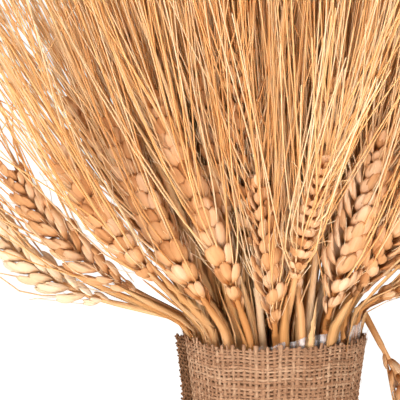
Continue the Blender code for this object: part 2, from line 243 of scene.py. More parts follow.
camera = bpy.data.objects.new("camera", bpy.data.cameras.new("camera"))
bpy.context.scene.collection.objects.link(camera)
camera.location = TARGET + VIEW_DISTANCE * np.array((0, -math.cos(VIEW_ELEVATION), math.sin(VIEW_ELEVATION)))
camera.rotation_euler = (math.pi / 2 - VIEW_ELEVATION, 0, 0)
camera.data.lens = camera.data.sensor_width * VIEW_DISTANCE / VIEW_WIDTH
camera.data.clip_start, camera.data.clip_end = 0.05, 60
bpy.context.scene.camera = camera
bpy.context.scene.view_settings.view_transform = "Standard"


def plain_material(name, colour, roughness):
    made = bpy.data.materials.new(name)
    made.use_nodes = True
    shader = made.node_tree.nodes["Principled BSDF"]
    shader.inputs["Base Color"].default_value = (*colour, 1)
    shader.inputs["Roughness"].default_value = roughness
    return made


def studio_light(name, place, size, power):
    """Square area light that faces the sheaf's middle."""
    lamp = bpy.data.lights.new(name, "AREA")
    lamp.size, lamp.energy, lamp.color = size, power, LIGHT_TINT
    obj = bpy.data.objects.new(name, lamp)
    bpy.context.scene.collection.objects.link(obj)
    obj.location = place
    aim = LIT_POINT - np.array(place)
    tilt, turn = math.acos(aim[2] / np.linalg.norm(aim)) - math.pi, math.atan2(aim[1], aim[0]) - math.pi / 2
    obj.rotation_euler = (tilt, 0, turn)


floor_mesh = bpy.data.meshes.new("floor")
floor_mesh.from_pydata([(-20, -8, 0), (20, -8, 0), (20, 40, 0), (-20, 40, 0)], [], [(0, 1, 2, 3)])
floor = bpy.data.objects.new("floor", floor_mesh)
bpy.context.scene.collection.objects.link(floor)
sweep = plain_material("white sweep", (0.93, 0.93, 0.93), 0.9)
nodes, links = sweep.node_tree.nodes, sweep.node_tree.links
place, away = nodes.new("ShaderNodeTexCoord"), nodes.new("ShaderNodeVectorMath")
glow = nodes.new("ShaderNodeMapRange")
away.operation = "LENGTH"
glow.inputs["From Min"].default_value, glow.inputs["From Max"].default_value = 0.4, 1.0
glow.inputs["To Min"].default_value, glow.inputs["To Max"].default_value = 0.0, 0.75
links.new(place.outputs["Object"], away.inputs[0])
links.new(away.outputs["Value"], glow.inputs["Value"])
links.new(glow.outputs["Result"], nodes["Principled BSDF"].inputs["Emission Strength"])
nodes["Principled BSDF"].inputs["Emission Color"].default_value = (1, 1, 1, 1)
floor_mesh.materials.append(sweep)

world = bpy.data.worlds.new("studio")
world.use_nodes = True
nodes, links = world.node_tree.nodes, world.node_tree.links
seen, sky = nodes.new("ShaderNodeLightPath"), nodes.new("ShaderNodeMix")
sky.data_type = "RGBA"
sky.inputs["A"].default_value = (0.46, 0.43, 0.39, 1)  # the room's light, a little warm
sky.inputs["B"].default_value = (1.0, 1.0, 1.0, 1)  # the white backdrop itself
links.new(seen.outputs["Is Camera Ray"], sky.inputs["Factor"])
links.new(sky.outputs["Result"], nodes["Background"].inputs["Color"])
bpy.context.scene.world = world
studio_light("key", (-0.3, -1.3, 1.6), 0.45, 262)
studio_light("fill", (0.35, -1.7, 0.30), 0.6, 24)

# --- Shared ways to make surfaces ---
# Straws, chaff and awns are all profiles carried along a path, closed to a point at both ends.


class Surface:
    """Grows one mesh out of many closed skins, each a stack of rings between two end points."""

    def __init__(self):
        self.points, self.corners, self.sizes, self.uvs, self.looks, self.tones = [], [], [], [], [], []
        self.count = 0

    def add(self, rings, low, high, look, tone):
        """rings is (skins, rows, sides, 3); low and high are the end points (skins, 3); tone is one per skin."""
        skins, rows, sides, _ = rings.shape
        per = rows * sides + 2
        flat = np.concatenate((rings.reshape(skins, rows * sides, 3), low[:, None], high[:, None]), axis=1)
        k, i = np.meshgrid(np.arange(rows - 1), np.arange(sides), indexing="ij")
        j = (i + 1) % sides
        quads = np.stack((k * sides + i, k * sides + j, (k + 1) * sides + j, (k + 1) * sides + i), -1).reshape(-1, 4)
        across = np.stack((i, i + 1, i + 1, i), -1).reshape(-1, 4) / sides
        along = (np.stack((k, k, k + 1, k + 1), -1).reshape(-1, 4) + 1) / (rows + 1)
        i = np.arange(sides)
        j = (i + 1) % sides
        last = (rows - 1) * sides
        fans = np.concatenate((
            np.stack((j, i, np.full(sides, per - 2)), -1),
            np.stack((last + i, last + j, np.full(sides, per - 1)), -1),
        ))
        fan_across = np.concatenate((np.stack((i + 1, i, i + 0.5), -1), np.stack((i, i + 1, i + 0.5), -1))) / sides
        fan_along = np.concatenate((
            np.tile((1 / (rows + 1), 1 / (rows + 1), 0), (sides, 1)),
            np.tile((rows / (rows + 1), rows / (rows + 1), 1), (sides, 1)),
        ))
        corners = np.concatenate((quads.ravel(), fans.ravel()))
        uv = np.stack((np.concatenate((across.ravel(), fan_across.ravel())),
                       np.concatenate((along.ravel(), fan_along.ravel()))), -1)
        sizes = np.concatenate((np.full(len(quads), 4), np.full(len(fans), 3)))
        offsets = self.count + np.arange(skins) * per
        self.points.append(flat.reshape(-1, 3))
        self.corners.append((corners[None] + offsets[:, None]).ravel())
        self.sizes.append(np.tile(sizes, skins))
        self.uvs.append(np.tile(uv, (skins, 1)))
        self.looks.append(np.full(len(sizes) * skins, look))
        self.tones.append(np.repeat(tone, per))
        self.count += skins * per

    def make(self, name, materials):
        """The mesh object, smooth shaded, with its UV map and the tone of each skin."""
        mesh = bpy.data.meshes.new(name)
        points, corners = np.concatenate(self.points), np.concatenate(self.corners)
        sizes, uvs = np.concatenate(self.sizes), np.concatenate(self.uvs)
        mesh.vertices.add(len(points))
        mesh.vertices.foreach_set("co", points.astype(np.float32).ravel())
        mesh.loops.add(len(corners))
        mesh.loops.foreach_set("vertex_index", corners.astype(np.int32))
        mesh.polygons.add(len(sizes))
        mesh.polygons.foreach_set("loop_start", np.concatenate(([0], np.cumsum(sizes)[:-1])).astype(np.int32))
        mesh.polygons.foreach_set("material_index", np.concatenate(self.looks).astype(np.int32))
        mesh.polygons.foreach_set("use_smooth", np.ones(len(sizes), dtype=bool))
        mesh.update(calc_edges=True)
        mesh.uv_layers.new(name="fibre").data.foreach_set("uv", uvs.astype(np.float32).ravel())
        tones = np.concatenate(self.tones).astype(np.float32)
        mesh.attributes.new("tone", "FLOAT", "POINT").data.foreach_set("value", tones)
        for made in materials:
            mesh.materials.append(made)
        mesh.validate()
        obj = bpy.data.objects.new(name, mesh)
        bpy.context.scene.collection.objects.link(obj)
        return obj


def tubes(paths, radii, sides, flatten=1.0):
    """Rings round many paths at once: (tubes, rows, 3) points and (tubes, rows) radii, with no twist to speak of.

    Each ring lies square to its path, and starts on the same side: away from a fixed direction that
    the paths hardly ever run along.
    """
    ahead = unit(np.gradient(paths, axis=1))
    fixed = np.array((0.83, 0.31, 0.46))
    side = unit(fixed - (ahead @ fixed)[..., None] * ahead)
    other = np.cross(ahead, side)
    turn = np.arange(sides) * 2 * math.pi / sides
    ring = side[:, :, None] * np.cos(turn)[:, None] + other[:, :, None] * np.sin(turn)[:, None] * flatten
    return paths[:, :, None] + ring * radii[:, :, None, None]


def flat_rings(paths, flat, out, half_width, half_thick):
    """Four-sided rings: points (pieces, rows, 3), two ways square to the path, and the half sizes along them."""
    wide, deep = flat * half_width[..., None], out * half_thick[..., None]
    return np.stack((paths + wide, paths + deep, paths - wide, paths - deep), axis=2)


# --- Wheat stalks ---
# Each stalk is a hollow golden straw that ends in one ear. An ear is two rows of overlapping spikelets,
# and a spikelet is two papery glumes round three plump florets, each drawn out into a long bristly awn.
EAR_PITCH = 0.0035  # from one spikelet to the next, on the other side
EAR_LEAN = (18, 25)  # degrees that a spikelet stands off the ear's axis
AWN_ROOT_R = 0.00043
AWN_TIP_R = 0.00024
AWN_RISE = 0.7
AWN_REACH = (0.100, 0.128)
# By stalk, counted from 1: the share of its awns that haven't broken off, and degrees that they fan out
AWN_SPREAD = {1: (0.34, 32), 2: (0.40, 36), 35: (0.45, 20), 36: (0.40, 20), 37: (0.45, 20), 33: (0.9, 44)}
USUAL_SPREAD = (0.86, 17)
# The share of the awns of an upright ear that cross the others, and how much wider they fan
STRAY = (0.09, 2.3)
BRISTLES = 40  # on an ear of the front
BRISTLE_R = 0.00016
LEAF_THICK = 0.00013  # half of it
STALK_SEED = 999
# The parts of a spikelet, in millimetres and degrees. They fan out across the ear: their splay to one side,
# how far along they start, the root's place across and outwards, the way the back faces, the length, and
# half the width and the depth. The outer two are glumes, and the other three are florets with an awn.
SPIKELET_PARTS = (
    (-17, 0.0, -0.9, 0.2, -52, 10.2, 2.3, 1.3, 0.55),
    (17, 0.0, 0.9, 0.2, 52, 10.2, 2.3, 1.3, 0.55),
    (-12, 1.0, -0.9, 0.7, -28, 12.4, 2.35, 1.4, 0.45),
    (12, 1.0, 0.9, 0.7, 28, 12.4, 2.35, 1.4, 0.45),
    (0, 2.4, 0.0, 1.1, 0, 11.6, 2.6, 1.5, 0.35),
)
FLORETS = 2  # the first part that carries an awn


def husk_rings(root, along, across, back, length, half_width, half_depth, keel, rows, sides):
    """Boat-shaped skins that start slim and end in a blunt tip. At the share u of its length the section is
    u^0.8 (1 - u)^0.5 wide, scaled to 1 at its widest. Its back is a mix of a round arch, sin(t), and a
    ridged one, 1 - |cos(t)|, and its inner side is half as deep. The whole bows outwards as sin(pi u)."""
    u = (np.arange(rows) + 0.45) / (rows + 0.1)
    full = u**0.8 * (1 - u) ** 0.5 / (0.615**0.8 * 0.385**0.5)
    turn = np.arange(sides) * 2 * math.pi / sides
    arch = (1 - keel) * np.sin(turn) + keel * (1 - np.abs(np.cos(turn)))
    deep = np.where(np.sin(turn) > 0, arch, 0.5 * np.sin(turn))
    spine = along[:, None] * u[:, None] + back[:, None] * (0.07 * np.sin(math.pi * u))[:, None]
    ring = across[:, None, None] * (full[:, None] * np.cos(turn))[..., None] * half_width[:, None, None, None]
    ring = ring + back[:, None, None] * (full[:, None] * deep)[..., None] * half_depth[:, None, None, None]
    return (root[:, None] + spine * length[:, None, None])[:, :, None] + ring


def rocked(v, axis, angle):
    """Vectors v turned about the unit vectors axis that they are square to, by angles in radians."""
    return v * np.cos(angle)[:, None] + np.cross(axis, v) * np.sin(angle)[:, None]


def grow_ear(surface, stalk, rng, paleness, awns_left, fan):
    """Adds the spikelets of one ear, in two rows that take turns, and then their awns."""
    count = int(stalk.ear / EAR_PITCH)
    share = (np.arange(count) + 0.25) / count
    index = np.clip(np.round((stalk.neck + share * stalk.ear * 0.97) / STEP).astype(int), 0, len(stalk.points) - 1)
    base, axis = stalk.points[index], stalk.along[index]
    row = unit(stalk.row - (axis @ stalk.row)[:, None] * axis)
    row = row * np.where(np.arange(count) % 2, 1.0, -1.0)[:, None]
    size = stalk.size * (0.50 + 0.52 * smooth(share * 4.5) - 0.34 * smooth((share - 0.55) / 0.5))
    size = size * rng.uniform(1.00, 1.12, count)
    lean = np.radians(rng.uniform(*EAR_LEAN, count)) * (1 - 0.5 * share**2) * (0.6 + 0.4 * smooth(share * 5))
    along = axis * np.cos(lean)[:, None] + row * np.sin(lean)[:, None]
    across = unit(np.cross(axis, row))
    back = np.cross(across, along)
    rows, sides = (7, 8) if stalk.front else (5, 6) if stalk.ring >= 3 else (4, 6)
    tips, tip_axes, tip_shares = [], [], []
    for number, (splay, start, aside, proud, facing, length, width, depth, keel) in enumerate(SPIKELET_PARTS):
        jitter = np.radians(rng.normal(0, 3.0, (3, count)))
        splay = np.radians(splay) + jitter[0]
        heads = along * np.cos(splay)[:, None] + across * np.sin(splay)[:, None]
        flank = across * np.cos(splay)[:, None] - along * np.sin(splay)[:, None]
        heads = rocked(heads, flank, jitter[1])
        outer = np.cross(flank, heads)
        facing = np.radians(facing) + 2 * jitter[2]
        faces = outer * np.cos(facing)[:, None] + flank * np.sin(facing)[:, None]
        flat = flank * np.cos(facing)[:, None] - outer * np.sin(facing)[:, None]
        scale = size * rng.uniform(0.94, 1.06, count) / 1000
        root = base + along * start * scale[:, None] + across * (aside * scale)[:, None]
        root = root + back * (proud * scale)[:, None]
        rings = husk_rings(root, heads, flat, faces, length * scale, width * scale, depth * scale, keel, rows, sides)
        tone = rng.uniform(0.1, 0.8, count) + paleness
        end = root + heads * (length * scale)[:, None]
        surface.add(rings, root, end, 1, tone)
        if number >= FLORETS:
            tips.append(root + heads * (0.93 * length * scale)[:, None])
            tip_axes.append(heads)
            tip_shares.append(share)
    tips, tip_axes, tip_shares = (np.concatenate(x) for x in (tips, tip_axes, tip_shares))
    ear_tip, tip_aim, _ = stalk.at(stalk.neck + stalk.ear)
    if tip_aim[2] > 0:
        tip_aim = unit(tip_aim + np.array((0, 0, AWN_RISE)))
    aim = unit(np.tile(axis, (len(SPIKELET_PARTS) - FLORETS, 1)) * 0.45 + tip_aim * 0.55)
    n = len(tips)
    outward = unit(tip_axes - (tip_axes * aim).sum(1, keepdims=True) * aim)
    spread, veer = np.radians(rng.uniform(1, fan, n)), np.radians(rng.uniform(-60, 60, n))
    spread = spread * np.where((rng.random(n) < STRAY[0]) & (tip_aim[2] > 0.85), STRAY[1], 1.0)
    away = outward * np.cos(veer)[:, None] + np.cross(aim, outward) * np.sin(veer)[:, None]
    direction = aim * np.cos(spread)[:, None] + away * np.sin(spread)[:, None]
    past_tip = rng.uniform(*AWN_REACH, n) - 0.045 * (1 - tip_shares)
    past_tip = past_tip * (0.80 + 0.20 * smooth((aim[:, 2] - 0.6) / 0.3))
    reach = past_tip * min(1, 0.55 + 0.45 * stalk.size) + np.maximum(((ear_tip - tips) * aim).sum(1), 0)
    steps = np.array((0, 0.05, 0.13, 0.25, 0.42, 0.62, 0.82, 1.0))
    blend = smooth((steps[1:] + steps[:-1]) / 0.5)[None, :, None]
    heads = unit(tip_axes[:, None] * (1 - blend) + direction[:, None] * blend)
    moves = heads * np.diff(steps)[None, :, None] * reach[:, None, None]
    path = tips[:, None] + np.concatenate((np.zeros((n, 1, 3)), np.cumsum(moves, axis=1)), axis=1)
    sway = unit(np.cross(direction, rng.normal(size=(n, 3))))
    path = path + sway[:, None] * (np.sin(steps * math.pi)[None, :] * rng.normal(0, 0.0018, (n, 1)))[..., None]
    radii = (AWN_ROOT_R + (AWN_TIP_R - AWN_ROOT_R) * steps)[None, :] * rng.uniform(0.8, 1.15, (n, 1))
    tone = rng.uniform(0.1, 0.9, n) + 0.5 * paleness
    kept = rng.random(n) < awns_left
    path, radii, direction, tone = path[kept], radii[kept], direction[kept], tone[kept]
    surface.add(tubes(path, radii, 3), path[:, 0], path[:, -1] + direction * 0.001, 2, tone)


def grow_bristles(surface, stalk, rng):
    """Adds the glumes' short bristles: fine hairs that leave the ear at 10 to 34 degrees and bow as sin(pi u)."""
    n = BRISTLES
    share = rng.uniform(0, 0.8, n)
    index = np.round((stalk.neck + share * stalk.ear) / STEP).astype(int)
    base, axis = stalk.points[index], stalk.along[index]
    side = unit(np.cross(axis, rng.normal(size=(n, 3))))
    lean = np.radians(rng.uniform(10, 34, n))
    heads = axis * np.cos(lean)[:, None] + side * np.sin(lean)[:, None]
    u = np.linspace(0, 1, 5)
    length = rng.uniform(0.006, 0.022, n)
    bow = unit(np.cross(heads, rng.normal(size=(n, 3)))) * (length * rng.uniform(0, 0.2, n))[:, None]
    root = base + side * 0.0035 + axis * 0.004
    path = root[:, None] + heads[:, None] * (length[:, None] * u)[..., None]
    path = path + bow[:, None] * np.sin(math.pi * u)[:, None]
    surface.add(tubes(path, np.full((n, 5), BRISTLE_R), 3), path[:, 0], path[:, -1], 2, rng.uniform(0.6, 1.3, n))


def grow_straw(surface, stalk, rng):
    """Adds the straw: cut square at the foot, slimmer towards the neck, and on up the ear as its rachis."""
    straight = np.linspace(0, 1, 9)[:, None]
    low = stalk.foot + (stalk.start - stalk.foot) * straight
    arcs = np.concatenate((np.linspace(0, stalk.neck, 12)[1:], stalk.neck + stalk.ear * np.linspace(0, 1, 10)[1:]))
    high = np.array([stalk.at(a)[0] for a in arcs])
    path = np.vstack((low, high))
    share = np.concatenate((np.zeros(9), arcs / (stalk.neck + stalk.ear)))
    below_ear = share < stalk.neck / (stalk.neck + stalk.ear)
    radii = np.where(below_ear, STRAW_R * 0.93 - 0.0003 * smooth(share * 3), 0.0011)
    radii[:9] = STRAW_R * 0.96
    radii[-1] = 0.0005
    rings = tubes(path[None], radii[None], 10)
    rings[0, 0, :, 2] = 0.0
    hollow = path[0] + (path[1] - path[0]) * 0.2
    surface.add(rings, hollow[None], path[None, -1], 0, np.array([rng.uniform(-0.3, 1.0)]))


def grow_leaf(surface, stalk, rng):
    """Adds dry leaf blades that follow the stalk up out of the wrap. A blade moves off its stalk as u^2, its
    width goes as (1 - u)^0.6, and it twists evenly about its own line as it goes up."""
    u = np.linspace(0, 1, 9)
    along = unit(stalk.start - stalk.foot)
    crowded = stalk.front and stalk.start[0] < -0.012
    for _ in range((7 if stalk.ring == 3 else 4) if crowded else 2):
        side = unit(np.cross(along, rng.normal(size=3)))
        low, length, drift = rng.uniform(0.012, 0.03), rng.uniform(0.045, 0.10), rng.uniform(0.03, 0.22)
        if crowded and stalk.ring == 3:
            length *= 1.35
        if stalk.ring == 4:
            length = min(length, low + stalk.neck + rng.uniform(0.0, 0.03))
        arcs = u * length - low
        path = np.array([stalk.at(arc)[0] if arc > 0 else stalk.start + along * arc for arc in arcs])
        path = path + side * (STRAW_R + u**2 * length * drift)[:, None]
        ahead = unit(np.gradient(path, axis=0))
        turn = rng.uniform(0, math.pi) + u * rng.uniform(-2.5, 2.5)
        near = unit(side - (ahead @ side)[:, None] * ahead)
        flat = near * np.cos(turn)[:, None] + np.cross(ahead, near) * np.sin(turn)[:, None]
        out = np.cross(ahead, flat)
        wide = rng.uniform(0.0020, 0.0038) * (1 - u * 0.97) ** 0.6
        rings = flat_rings(path[None], flat[None], out[None], wide[None], np.full((1, 9), LEAF_THICK))
        surface.add(rings, path[None, 0], path[None, -1] + ahead[-1] * 0.002, 3, rng.uniform(0, 1, 1))


def fibre_streaks():
    """Node group: fine streaks that run along a straw, a scale or an awn, from its UV map, with a bump."""
    group = bpy.data.node_groups.new("fibre streaks", "ShaderNodeTree")
    for name, kind, value in (("Across", "NodeSocketFloat", 20.0), ("Along", "NodeSocketFloat", 1.5),
                              ("Bump", "NodeSocketFloat", 0.2)):
        group.interface.new_socket(name, in_out="INPUT", socket_type=kind).default_value = value
    group.interface.new_socket("Streak", in_out="OUTPUT", socket_type="NodeSocketFloat")
    group.interface.new_socket("Normal", in_out="OUTPUT", socket_type="NodeSocketVector")
    nodes, links = group.nodes, group.links
    inputs, outputs = nodes.new("NodeGroupInput"), nodes.new("NodeGroupOutput")
    uv = nodes.new("ShaderNodeUVMap")
    uv.uv_map = "fibre"
    tone = nodes.new("ShaderNodeAttribute")
    tone.attribute_name = "tone"
    split, join = nodes.new("ShaderNodeSeparateXYZ"), nodes.new("ShaderNodeCombineXYZ")
    links.new(uv.outputs["UV"], split.inputs[0])
    for axis, name in ((0, "Across"), (1, "Along")):
        scale = nodes.new("ShaderNodeMath")
        scale.operation = "MULTIPLY"
        links.new(split.outputs[axis], scale.inputs[0])
        links.new(inputs.outputs[name], scale.inputs[1])
        links.new(scale.outputs[0], join.inputs[axis])
    shift = nodes.new("ShaderNodeMath")
    shift.operation, shift.inputs[1].default_value = "MULTIPLY", 37.0
    links.new(tone.outputs["Fac"], shift.inputs[0])
    links.new(shift.outputs[0], join.inputs[2])
    noise = nodes.new("ShaderNodeTexNoise")
    noise.inputs["Scale"].default_value, noise.inputs["Detail"].default_value = 1.0, 3.0
    links.new(join.outputs[0], noise.inputs["Vector"])
    bump = nodes.new("ShaderNodeBump")
    bump.inputs["Distance"].default_value = 0.0003
    links.new(inputs.outputs["Bump"], bump.inputs["Strength"])
    links.new(noise.outputs["Fac"], bump.inputs["Height"])
    links.new(noise.outputs["Fac"], outputs.inputs["Streak"])
    links.new(bump.outputs["Normal"], outputs.inputs["Normal"])
    return group


streaks = fibre_streaks()


def dry_plant(name, dark, mid, pale, roughness, across, along, bump, patch=60.0, painted_root_shade=0.0):
    """Dried plant skin: three tones mixed by the piece's own tone, by streaks and by soft patches in space.
    Its root end is darker by the root-shade amount: painted shade where the next scale lies over it."""
    made = bpy.data.materials.new(name)
    made.use_nodes = True
    nodes, links = made.node_tree.nodes, made.node_tree.links
    shader = nodes["Principled BSDF"]
    shader.inputs["Roughness"].default_value = roughness
    shader.inputs["Specular IOR Level"].default_value = 0.16
    fibre = nodes.new("ShaderNodeGroup")
    fibre.node_tree = streaks
    fibre.inputs["Across"].default_value, fibre.inputs["Along"].default_value = across, along
    fibre.inputs["Bump"].default_value = bump
    tone = nodes.new("ShaderNodeAttribute")
    tone.attribute_name = "tone"
    place = nodes.new("ShaderNodeTexCoord")
    patches = nodes.new("ShaderNodeTexNoise")
    patches.inputs["Scale"].default_value = patch
    links.new(place.outputs["Object"], patches.inputs["Vector"])
    total = nodes.new("ShaderNodeMath")
    total.operation = "MULTIPLY_ADD"
    total.inputs[1].default_value = 0.55
    links.new(tone.outputs["Fac"], total.inputs[0])
    part = nodes.new("ShaderNodeMath")
    part.operation, part.inputs[1].default_value = "MULTIPLY_ADD", 0.45
    links.new(fibre.outputs["Streak"], part.inputs[0])
    patch_part = nodes.new("ShaderNodeMath")
    patch_part.operation = "MULTIPLY_ADD"
    patch_part.inputs[1].default_value, patch_part.inputs[2].default_value = 0.5, -0.22
    links.new(patches.outputs["Fac"], patch_part.inputs[0])
    links.new(patch_part.outputs[0], part.inputs[2])
    # painted shade: each skin is darkened towards its root end, where the next scale lies over it
    uv, ends = nodes.new("ShaderNodeUVMap"), nodes.new("ShaderNodeMapRange")
    uv.uv_map = "fibre"
    split = nodes.new("ShaderNodeSeparateXYZ")
    ends.inputs["From Min"].default_value, ends.inputs["From Max"].default_value = 0.0, 0.5
    ends.inputs["To Min"].default_value, ends.inputs["To Max"].default_value = -painted_root_shade, 0.0
    shaded = nodes.new("ShaderNodeMath")
    links.new(uv.outputs["UV"], split.inputs[0])
    links.new(split.outputs[1], ends.inputs["Value"])
    links.new(ends.outputs["Result"], shaded.inputs[0])
    links.new(part.outputs[0], shaded.inputs[1])
    links.new(shaded.outputs[0], total.inputs[2])
    ramp = nodes.new("ShaderNodeValToRGB")
    ramp.color_ramp.elements[0].color, ramp.color_ramp.elements[0].position = (*dark, 1), 0.15
    ramp.color_ramp.elements[1].color, ramp.color_ramp.elements[1].position = (*pale, 1), 0.85
    middle = ramp.color_ramp.elements.new(0.5)
    middle.color = (*mid, 1)
    links.new(total.outputs[0], ramp.inputs["Fac"])
    links.new(ramp.outputs["Color"], shader.inputs["Base Color"])
    links.new(fibre.outputs["Normal"], shader.inputs["Normal"])
    return made


straw_look = dry_plant("dried straw", (0.54, 0.23, 0.07), (0.84, 0.49, 0.235), (0.97, 0.74, 0.50),
                       0.40, 14, 3, 0.4)
# the darker root ends of this chaff and of the bleached chaff below are painted shade
chaff_look = dry_plant("wheat chaff", (0.36, 0.12, 0.028), (0.71, 0.37, 0.165), (0.87, 0.60, 0.39),
                       0.45, 9, 0.9, 1.0, painted_root_shade=0.5)
awn_look = dry_plant("wheat awn", (0.88, 0.38, 0.11), (0.96, 0.58, 0.26), (0.97, 0.76, 0.51), 0.38, 3, 6, 0.1)
leaf_look = dry_plant("dry leaf", (0.36, 0.13, 0.03), (0.66, 0.33, 0.12), (0.88, 0.58, 0.31), 0.6, 22, 2, 0.6)
bleached_look = dry_plant("bleached chaff", (0.60, 0.34, 0.16), (0.90, 0.66, 0.43), (0.97, 0.84, 0.67),
                          0.5, 9, 0.9, 1.0, painted_root_shade=0.3)
PALE_EARS = {1: 0.15, 2: 0.1, 7: 0.3, 8: 0.3}  # by how much their tone is paler
BLEACHED = (1,)
LEAFLESS = (1, 12)  # the two whose bare necks stand clear of the bunch

for number, stalk in enumerate(stalks, 1):
    rng = np.random.default_rng(STALK_SEED + number)
    surface = Surface()
    grow_straw(surface, stalk, rng)
    grow_ear(surface, stalk, rng, PALE_EARS.get(number, 0.0), *AWN_SPREAD.get(number, USUAL_SPREAD))
    if number not in LEAFLESS:
        grow_leaf(surface, stalk, rng)
    if stalk.front:
        grow_bristles(surface, stalk, rng)
    node = f"stalk_{number:02d}"
    husks = bleached_look if number in BLEACHED else chaff_look
    piece = surface.make("wheat_" + node, (straw_look, husks, awn_look, leaf_look))
    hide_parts(node)
    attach(piece, "root")

# --- Clear tape ---
# A turn of clear sticky tape holds the outer straws together just under the burlap's rim, and shows above it
# on the right. It is drawn tight, so it dips in between the straws and wrinkles.
BURLAP_PROFILE = np.array((
    (0.225, 0.00160, 0.0012),
    (0.198, 0.00420, 0.0012),
    (0.170, 0.00330, 0.0014),
    (0.142, 0.00120, 0.0018),
    (0.120, 0.00045, 0.0025),
    (0.110, 0.00045, 0.0025),
    (0.090, 0.00050, 0.0018),
    (0.060, 0.00060, 0.0013),
))[::-1]  # height, room between the straws and the burlap, and the burlap's thickness
TAPE_LOW, TAPE_TOP = 0.203, 0.2225
TAPE_TILT, TAPE_HIGH_AZIMUTH = 0.009, math.radians(62)
TAPE_THICK = 0.00012


def ring_sheet(name, rows, made, tone=0.5):
    """Closed mesh of a grid of points (rows, columns, 3) that runs round both ways, like a tyre."""
    m, n, _ = rows.shape
    i, j = np.meshgrid(np.arange(m), np.arange(n), indexing="ij")
    i2, j2 = (i + 1) % m, (j + 1) % n
    corners = np.stack((i * n + j, i * n + j2, i2 * n + j2, i2 * n + j), -1).reshape(-1, 4)
    mesh = bpy.data.meshes.new(name)
    mesh.from_pydata(rows.reshape(-1, 3), [], corners)
    mesh.shade_smooth()
    uv = np.stack((np.stack((j, j + 1, j + 1, j), -1) / n, np.stack((i, i, i + 1, i + 1), -1) / m), -1)
    mesh.uv_layers.new(name="fibre").data.foreach_set("uv", uv.astype(np.float32).ravel())
    mesh.attributes.new("tone", "FLOAT", "POINT").data.foreach_set("value", np.full(m * n, tone, dtype=np.float32))
    mesh.materials.append(made)
    obj = bpy.data.objects.new(name, mesh)
    bpy.context.scene.collection.objects.link(obj)
    return obj


def polar(radius, azimuth, z):
    """Points at a radius, an azimuth in radians and a height."""
    return np.stack(np.broadcast_arrays(radius * np.sin(azimuth), -radius * np.cos(azimuth), z), -1)


def make_tape():
    """The film's radius is the straws' outer side less a dip of 1 - |cos(10 a)|^0.6 between the twenty outer
    straws, plus slanting wrinkles, sin(23 a + 500 z) and sin(97 a - 200 z). The top edge rises and falls once round."""
    azimuth = np.linspace(0, 2 * math.pi, 240, endpoint=False)[None]
    share = np.linspace(0, 1, 9)[:, None]
    z = TAPE_LOW + share * (TAPE_TOP - TAPE_LOW + TAPE_TILT * np.cos(azimuth - TAPE_HIGH_AZIMUTH))
    z = z + share * 0.0005 * np.sin(17 * azimuth + 2 * np.sin(5 * azimuth))
    turn = azimuth - np.arctan(TWIST * (z - RIM_Z) / (1 + TWIST**2 * RIM_H * (z - TIE_Z))) * 0.9
    dip = 0.0019 * (1 - np.abs(np.cos(10 * turn)) ** 0.6)
    wrinkle = 0.00004 * np.sin(23 * azimuth + 500 * z) + 0.00003 * np.sin(97 * azimuth - 200 * z)
    radius = bunch_radius(z) + 0.0003 - dip + wrinkle
    film = np.concatenate((polar(radius + TAPE_THICK, azimuth, z), polar(radius, azimuth, z)[::-1]))
    return ring_sheet("tape_film", film, film_look())


def film_look():
    """Clear film that is a little milky, with fine upright cloudy streaks: partly real haze, and partly painted
    highlight, their white standing in for the light caught by the crinkled film.
    """
    made = bpy.data.materials.new("clear film")
    made.use_nodes = True
    nodes, links = made.node_tree.nodes, made.node_tree.links
    shader = nodes["Principled BSDF"]
    shader.inputs["Base Color"].default_value = (1.0, 0.96, 0.97, 1)
    shader.inputs["Roughness"].default_value = 0.3
    shader.inputs["Specular IOR Level"].default_value = 0.5
    place = nodes.new("ShaderNodeTexCoord")
    haze_and_highlight_streaks = nodes.new("ShaderNodeTexNoise")
    haze_and_highlight_streaks.inputs["Scale"].default_value, haze_and_highlight_streaks.inputs["Detail"].default_value = 700.0, 2.0
    upright = nodes.new("ShaderNodeMapping")
    upright.inputs["Scale"].default_value = (1.0, 1.0, 0.09)
    links.new(place.outputs["Object"], upright.inputs["Vector"])
    links.new(upright.outputs["Vector"], haze_and_highlight_streaks.inputs["Vector"])
    # partly painted highlight: the streaks of milky cover stand in for the film's highlights as well as its haze
    haze = nodes.new("ShaderNodeMapRange")
    haze.inputs["From Min"].default_value, haze.inputs["From Max"].default_value = 0.42, 0.72
    haze.inputs["To Min"].default_value, haze.inputs["To Max"].default_value = 0.04, 0.60
    links.new(haze_and_highlight_streaks.outputs["Fac"], haze.inputs["Value"])
    links.new(haze.outputs["Result"], shader.inputs["Alpha"])
    bump = nodes.new("ShaderNodeBump")
    bump.inputs["Strength"].default_value, bump.inputs["Distance"].default_value = 0.25, 0.0002
    links.new(haze_and_highlight_streaks.outputs["Fac"], bump.inputs["Height"])
    links.new(bump.outputs["Normal"], shader.inputs["Normal"])
    return made


tape = make_tape()
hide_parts("clear_tape")
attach(tape, "root")

# --- Burlap wrap ---
# A strip of loose plain-woven jute, wound once round the straws with its raw end turned out on the left.
# The twine gathers it in folds. The yarns lie over and under each other on a thin fuzzy ground, which is painted shade:
# a very dark sleeve that shows as the shadow between them.
BURLAP_LOW, BURLAP_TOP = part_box("burlap_wrap")[0][2], RIM_Z
WARP_YARNS = 94  # upright
WEFT_YARNS = 118  # round the bunch
YARN_WAVE = 0.00022  # how far a yarn rises over the one it crosses
FOLDS = 20
SEAM_AZIMUTH = math.radians(-78)  # where the raw end leaves the wrap
FLAP_REACH = 0.0034  # how far its cut edge stands off
FLAP_WIDTH = 12.5  # degrees
WEFT_START = math.radians(-86)
YARN_THICK = 0.00034  # half of an upright yarn's
FUZZ = 700  # loose fibres
EDGE_FUZZ = 90  # of them along the raw end
CLOTH_SEED = 77
rng = np.random.default_rng(CLOTH_SEED)


